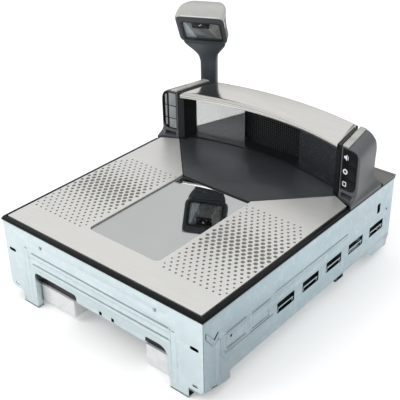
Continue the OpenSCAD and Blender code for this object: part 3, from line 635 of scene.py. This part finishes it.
PANE_END, PANE_SIDE = 1.6, 0.3              # a pane's inset at the panel's ends and beside another pane


def plane_y(x, slope):
    """How far back the cap's sloping front lies at x."""
    return CAP_Y + (x - CAP_X) * math.tan(slope)


def cap_ring(row):
    """The right cap's plan at one height."""
    z, mx, bx, by, cx, cy = row
    low = max(0.0, (112 - z) / 8)
    slope = KEY_SLOPE + (FOOT_SLOPE - KEY_SLOPE) * min(1.0, max(0.0, (114 - z) / 6))
    bx, cx = min(bx, 145.9), min(cx, 145.9)
    inner = 121 - low * 0.9
    return rounded([(inner, plane_y(inner, slope), 0.6), (mx, plane_y(mx, slope), 1.2), (bx, by, 1.4),
                    (cx, cy, 3), (116 + low * 11, 322 + low * 11, 1.6), (111.4, 321.5 + low * 7, 0.6)], 5)


def cap_at(mirror):
    """Points on the key panel's plane: u along it, v up, d into the cap."""
    c, s = math.cos(KEY_SLOPE), math.sin(KEY_SLOPE)
    return lambda u, v, d: P(mirror * (CAP_X + u * c - d * s), CAP_Y + u * s + d * c, v)


def key_outline(g=0.0, lo=KEY_EDGE[0], hi=KEY_EDGE[3]):
    """The panel in a cap's front, drawn in by g."""
    return rounded([(2.4 + g, lo + g), (24 - g, lo + g, 11 - g), (24 - g, hi - g, 13.5 - g),
                    (2.4 + g, hi - g, 0.6)], 8)


def cap_plan(mirror):
    """Points of the right cap's plan, or of the left one's."""
    return lambda u, v, d: P(mirror * u, v, d)


for side, mirror in (("right", 1), ("left", -1)):
    bm = bmesh.new()
    skin(bm, [(cap_ring(r), r[0]) for r in curve_rows(CAP_ROWS, 3)], cap_plan(mirror))
    pocket, foot = bmesh.new(), bmesh.new()
    skin(pocket, [(key_outline(), -20), (key_outline(), 4.4)], cap_at(mirror))
    recess = rect(4, 108.6, 20.5, 114.2, 1.5)
    skin(foot, [(recess, -20), (recess, 6)], cap_at(mirror))
    piece(f"endcap_{side}_shell", bm, MATS["grey_plastic"], "base",
          (f"endcap_{side}",), 0.35, 30, 2, (pocket, foot))
    eased(f"trim_{side}", 0.35)

eased("key_bezel", 0.15)
eased("indicator_bezel", 0.15, EXTRA["cap_dark"])
lens_at = cap_at(-1)
lens_faces = bmesh.new()
for lo, hi in ((117.6, 132.2), (132.8, 149.5), (150.1, 169.0)):
    bottom = lo + (PANE_END if lo == KEY_EDGE[0] else PANE_SIDE)
    top = hi - (PANE_END if hi == KEY_EDGE[3] else PANE_SIDE)
    slab(lens_faces, (3.2, bottom, 0.1), (14.2, top, 1.8), lens_at)
    slab(lens_faces, (17.2, max(bottom, 121.5), 0.5), (20.2, min(top, 164.5), 1.8), lens_at)
piece("indicator_lens_panes", lens_faces, EXTRA["lens"], "base", ("indicator_lenses",), 0.5)
backing = bmesh.new()
skin(backing, [(key_outline(0.9), 1.4), (key_outline(0.9), 2.4)], lens_at)
piece("indicator_backing", backing, EXTRA["cap_dark"], "base", (), 0.1)
for key in ("key_sound", "key_zero", "key_mode"):
    eased(key, 0.25, EXTRA["cap_dark"])

SYMBOL_U = 7.8
at = cap_at(1)


def symbol(name, loops_list, body):
    """A plain printed sign on a key."""
    bm = bmesh.new()
    for loops in loops_list:
        plate(bm, loops, 0.03, 0.2, at)
    piece(name, bm, EXTRA["symbol"], body)


symbol("symbol_sound", [[rounded([(SYMBOL_U - 3, 157.1), (SYMBOL_U - 1.4, 157.1), (SYMBOL_U + 1.2, 154.7),
                                  (SYMBOL_U + 1.2, 162.3), (SYMBOL_U - 1.4, 159.9), (SYMBOL_U - 3, 159.9)])],
                        [rounded([(SYMBOL_U + 2.2, 156.3), (SYMBOL_U + 3, 156.3), (SYMBOL_U + 3, 160.7),
                                  (SYMBOL_U + 2.2, 160.7)])]], "key_sound")
symbol("symbol_zero", [[circle(SYMBOL_U, 141, 3.3, 24), circle(SYMBOL_U, 141, 1.7, 20)]], "key_zero")
symbol("symbol_mode", [[rect(SYMBOL_U - 2.7, 122.6, SYMBOL_U + 2.7, 128.4, 1.0),
                        rect(SYMBOL_U - 1.7, 123.6, SYMBOL_U + 1.7, 127.4, 0.6)]], "key_mode")

# ---------------------------------------------------------------- tower

TOWER = P(-130, 342.5, 0)     # the foot of the neck's axis
YAW, TILT = math.radians(25.5), math.radians(32.8)
FACE_S, FACE_Z, FACE_H = 36.5, 240.0, 46.7
TOP_RISE = 2.4  # the head's brow stands this far above the face's own half height
TURN = Matrix.Rotation(YAW, 4, "Z")


def tower_at(u, v, d):
    """u across the neck, v behind its axis, d up."""
    return TOWER + TURN @ Vector((u * MM, v * MM, d * MM))


def face_at(u, v, d):
    """u across the face, v up it, d out of it."""
    a = math.pi / 2 + TILT
    local = Vector((u, v * math.cos(a) - d * math.sin(a) - FACE_S,
                    v * math.sin(a) + d * math.cos(a) + FACE_Z))
    return TOWER + TURN @ (local * MM)


def head_outline(low, high, half=FACE_H / 2, r=9.5):
    """The head's front outline, from its half widths below and above."""
    top = half + TOP_RISE
    return rounded([(-low, -half, r), (max(low, 30.6), -half, r), (high, top, r), (-high, top, r)], 8)


# one row per height: z, half widths in front and behind, front and back
NECK = [[106, 11.4, 11, -7.2, 7.6], [112, 11, 10.6, -7, 7.4], [150, 11, 10.6, -7.1, 7.4],
        [184, 11, 10.6, -7.2, 7.4], [192, 11.8, 10.6, -8, 7.8], [199, 14, 10.6, -10.2, 8.4],
        [206, 19, 10.7, -14, 8.7], [212, 24, 10.8, -18.2, 8.9], [217, 27.5, 10.9, -22, 9],
        [221, 28.8, 11, -24.6, 9]]


def wedge(f, b, y0, y1, t=4.5):
    """The neck's section: half width f at y0 in front and b at y1 behind."""
    return rounded([(-f, y0, t), (f, y0, t), (b, y1, t), (-b, y1, t)], 6)


def front_of_face():
    """A cutter that leaves room for the head's frame and for what is before it."""
    cutter = bmesh.new()
    skin(cutter, [(head_outline(31.2, 31.2, FACE_H / 2 + 0.1), -10.1),
                  (head_outline(31.2, 31.2), 50)], face_at)
    return cutter


bm = bmesh.new()
skin(bm, [(wedge(*r[1:]), r[0]) for r in curve_rows(NECK, 4)], tower_at)
piece("tower_neck", bm, MATS["charcoal_plastic"], "base", ("tower_post",), 0.3, 40, 2,
      (front_of_face(),))

bm = bmesh.new()
win = lambda g: rounded([(-26.4 + g, -20.4 + g, 5.5 - g), (26.4 - g, -20.4 + g, 5.5 - g),
                         (26.4 - g, 16.4 - g, 5.5 - g), (-26.4 + g, 16.4 - g, 5.5 - g)], 8)
skin(bm, [(head_outline(25, 30.2), -10), (head_outline(30.0, 30.8), -2.2), (head_outline(30.8, 30.9), -0.8),
          (head_outline(30.4, 30.4, FACE_H / 2 - 0.5), -0.15),
          (head_outline(29.8, 29.8, FACE_H / 2 - 1.1), 0),
          (win(-0.4), 0), (win(0), -0.4), (win(0), -1.6), (win(2.9), -1.6), (win(2.9), -10)],
     face_at, closed=True)
piece("tower_head_frame", bm, MATS["charcoal_plastic"], "base", ("tower_head",), 0.0, 40)

# one row per section: its place behind the axis, half width, bottom and top
SHELL = [[-50.6, 30.4, 257, 261.6], [-46, 30.9, 252, 265.6], [-38, 30.6, 243, 268.8],
         [-28, 29.6, 231, 270.6], [-18, 26, 221.3, 271], [-8, 21, 221.3, 269.6], [2, 16, 221.3, 265.4],
         [8, 12.5, 221.6, 260], [9, 11, 222.4, 255]]


def shell_at(u, v, d):
    """u across the neck, v up, d behind its axis."""
    return TOWER + TURN @ Vector((u * MM, d * MM, v * MM))


bm = bmesh.new()
skin(bm, [(rounded([(-r[1], r[2], 2), (r[1], r[2], 2), (r[1], r[3], 6), (-r[1], r[3], 6)], 6), r[0])
          for r in curve_rows(SHELL, 4)], shell_at)
# white line round the head's front edge: painted highlight on the shell's eased edge
painted_highlight_line = bmesh.new()
skin(painted_highlight_line, [(head_outline(31, 31, FACE_H / 2 + 0.4), -2.6),
                 (head_outline(31, 31, FACE_H / 2 + 0.4), -0.9),
                 (head_outline(30.2, 30.2, FACE_H / 2 - 0.4), -0.9),
                 (head_outline(30.2, 30.2, FACE_H / 2 - 0.4), -2.6)], face_at, closed=True)
skirt_cut = bmesh.new()
skin(skirt_cut, [(rect(-60, -80, 60, 8), -20), (rect(-60, -80, 60, 8), 60)], face_at)
piece("tower_trim_line", painted_highlight_line, EXTRA["symbol"], "base", (), 0.0, 40, 2, (skirt_cut,))
face_cut = bmesh.new()
skin(face_cut, [(rect(-60, -80, 60, 80), -0.2), (rect(-60, -80, 60, 80), 60)], face_at)
low_cut = bmesh.new()
skin(low_cut, [(rect(-60, -80, 60, 6), -10.1), (rect(-60, -80, 60, 6), 50)], face_at)
piece("tower_shell_cover", bm, MATS["silver_plastic"], "base", ("tower_shell",), 0.35, 40,
      2, (front_of_face(), low_cut, face_cut))

bm = bmesh.new()
skin(bm, [(win(2.2), -1.3), (win(2.2), -0.5), (win(0.2), -0.5), (win(0.2), -1.3)], face_at, closed=True)
piece("tower_bezel_ring", bm, MATS["gloss_black"], "base", ("tower_bezel",), 0.0, 40)

# mirror facets behind the tower's window
FACETS = [("facet_blue", [(-25, 14.5), (-25, -18.5), (-9, -18.5), (-20.5, 14.5)]),
          ("facet_grey", [(-20.4, 14.5), (-8.9, -18.5), (15.8, -18.5), (1.8, 14.5)]),
          ("facet_warm", [(2.2, 14.5), (16.2, -18.5), (25, -18.5), (25, 14.5)])]
for k, (key, pts) in enumerate(FACETS):
    bm = bmesh.new()
    plate(bm, [[Vector(p) for p in pts]], -3.2 - 0.05 * k, -3.9 - 0.05 * k, face_at)
    piece(f"tower_{key}", bm, EXTRA[key], "base", ("tower_mirror",) if k == 0 else (), 0.08)

bm = bmesh.new()
housing = rounded([(-13, 14.6), (-11, 8.4, 2), (-6, 6.6, 2), (6.5, 6.6, 2), (11, 8.6, 2), (12, 14.6)])
plate(bm, [housing], -1.9, -3.1, face_at)
piece("tower_imager_housing", bm, EXTRA["cap_dark"], "base", (), 0.2)
bm = bmesh.new()
plate(bm, [rounded([(-3.4, 8), (0.5, 11), (1.4, 10.6), (-1.2, 7.8)])], -1.7, -1.9, face_at)
piece("tower_imager_lens", bm, EXTRA["symbol"], "base", (), 0.05)

# ---------------------------------------------------------------- stage, light and camera

bm = bmesh.new()
for x, y in ((-40, -40), (40, -40), (40, 40), (-40, 40)):
    bm.verts.new((x, y, -0.0003))
bm.faces.new(bm.verts)
floor_mesh = bpy.data.meshes.new("floor")
bm.to_mesh(floor_mesh)
bm.free()
floor = bpy.data.objects.new("floor", floor_mesh)
bpy.context.scene.collection.objects.link(floor)
floor_paint = finish_material("floor_paint", (0.92, 0.92, 0.92), 0.9, 0, 0.004, 3)
floor_shader = floor_paint.node_tree.nodes["Principled BSDF"]
floor_shader.inputs["Emission Color"].default_value = (1, 1, 1, 1)
floor_shader.inputs["Emission Strength"].default_value = 0.16
floor_mesh.materials.append(floor_paint)

world = bpy.data.worlds.new("studio")
bpy.context.scene.world = world
world.use_nodes = True
wt = world.node_tree
background = wt.nodes["Background"]
coord = wt.nodes.new("ShaderNodeTexCoord")
split = wt.nodes.new("ShaderNodeSeparateXYZ")
ramp = wt.nodes.new("ShaderNodeValToRGB")
# brightness of the surroundings against the sine of the height above the horizon
SKY = [(0.0, 0.30), (0.22, 0.34), (0.38, 0.95), (0.76, 1.0), (1.0, 0.7)]
for k, (height, level) in enumerate(SKY):
    stop = ramp.color_ramp.elements[k] if k < 2 else ramp.color_ramp.elements.new(height)
    stop.position = height
    stop.color = (level, level, level, 1)
wt.links.new(coord.outputs["Generated"], split.inputs["Vector"])
wt.links.new(split.outputs["Z"], ramp.inputs["Fac"])
wt.links.new(ramp.outputs["Color"], background.inputs["Color"])
background.inputs["Strength"].default_value = 1.12


def area_light(name, spot, target, size, power, color=(1, 1, 1)):
    """A rectangular lamp that faces its target."""
    data = bpy.data.lights.new(name, "AREA")
    data.shape = "RECTANGLE"
    data.size, data.size_y = size
    data.energy = power
    data.color = color
    obj = bpy.data.objects.new(name, data)
    obj.location = spot
    obj.rotation_euler = (Vector(target) - Vector(spot)).to_track_quat("-Z", "Y").to_euler()
    bpy.context.scene.collection.objects.link(obj)


area_light("key", (-0.9, -1.3, 1.5), (0, 0, 0.05), (1.2, 1.0), 14, (1.0, 1.0, 1.0))
area_light("fill", (1.6, -0.2, 0.9), (0, 0, 0.08), (1.0, 1.0), 4, (0.95, 0.98, 1.0))

FOCAL_PX, IMAGE_PX, SENSOR = 820.4, 400, 36.0
camera_data = bpy.data.cameras.new("camera")
camera_data.sensor_width = SENSOR
camera_data.lens = FOCAL_PX * SENSOR / IMAGE_PX
camera_data.clip_start, camera_data.clip_end = 0.01, 200
camera = bpy.data.objects.new("camera", camera_data)
RIGHT = Vector((0.762418, 0.646876, -0.016441))
DOWN = Vector((0.316443, -0.394886, -0.862513))
AHEAD = Vector((-0.564431, 0.652393, -0.505768))
pose = Matrix.Identity(4)
for i in range(3):
    pose[i][0], pose[i][1], pose[i][2] = RIGHT[i], -DOWN[i], -AHEAD[i]
pose.translation = P(527.56, -441.46, 575.68)
camera.matrix_world = pose
bpy.context.scene.collection.objects.link(camera)
bpy.context.scene.camera = camera
bpy.context.scene.view_settings.view_transform = "Standard"
